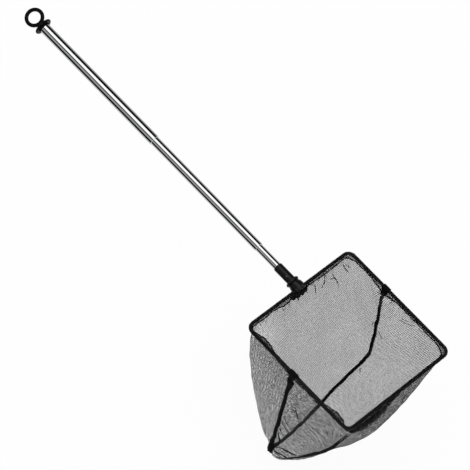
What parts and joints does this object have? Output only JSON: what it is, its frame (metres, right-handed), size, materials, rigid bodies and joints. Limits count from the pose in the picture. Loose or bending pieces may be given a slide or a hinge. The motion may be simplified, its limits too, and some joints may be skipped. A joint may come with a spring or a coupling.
{
  "type": "aquarium fish net",
  "caption": "Aquarium net with a square wire frame, a fine seamed net bag, and a telescopic metal handle with a hanging ring.",
  "frame": {"origin": "centre of the hanging ring's hole, on the handle's axis", "axes": "+X along the handle from the ring to the net, +Z out of the net's mouth, +Y across the frame"},
  "size_m": [0.4632, 0.1294, 0.1257],
  "materials": {
    "cap_plastic": "glossy black moulding",
    "tube_steel": "polished stainless steel",
    "spring_brass": "plain",
    "connector_plastic": "semi-gloss black moulding",
    "pin_steel": "plain",
    "wire_coated": "black coated wire",
    "hem_cloth": "folded black netting",
    "net_cloth": "fine black netting, see-through",
    "tape_cloth": "black binding tape"
  },
  "bodies": {
    "outer_section": {"hanging_cap": "cap_plastic", "outer_tube": "tube_steel"},
    "middle_springs": {"middle_spring_upper": "spring_brass", "middle_spring_lower": "spring_brass"},
    "middle_section": {"middle_tube": "tube_steel"},
    "inner_springs": {"inner_spring_upper": "spring_brass", "inner_spring_lower": "spring_brass"},
    "net_head": {"inner_tube": "tube_steel", "connector": "connector_plastic", "connector_pin": "pin_steel", "frame_wire": "wire_coated", "hem_handle_near": "hem_cloth", "hem_handle_far": "hem_cloth", "hem_front": "hem_cloth", "near_seam_tab": "tape_cloth", "far_seam_tab": "tape_cloth", "handle_panel": "net_cloth", "front_panel": "net_cloth", "near_binding": "tape_cloth", "bottom_binding": "tape_cloth"}
  },
  "joints": [
    {"name": "middle_slide", "type": "slide", "parent": "outer_section", "child": "middle_springs", "axis": [1, 0, 0], "range_m": [-0.121, 0.002]},
    {"name": "middle_turn", "type": "hinge", "parent": "middle_springs", "child": "middle_section", "pos_m": [0.1475, 0, 0], "axis": [1, 0, 0], "continuous": true},
    {"name": "inner_slide", "type": "slide", "parent": "middle_section", "child": "inner_springs", "axis": [1, 0, 0], "range_m": [-0.0217, 0.096]},
    {"name": "inner_turn", "type": "hinge", "parent": "inner_springs", "child": "net_head", "pos_m": [0.2, 0, 0], "axis": [1, 0, 0], "continuous": true}
  ]
}
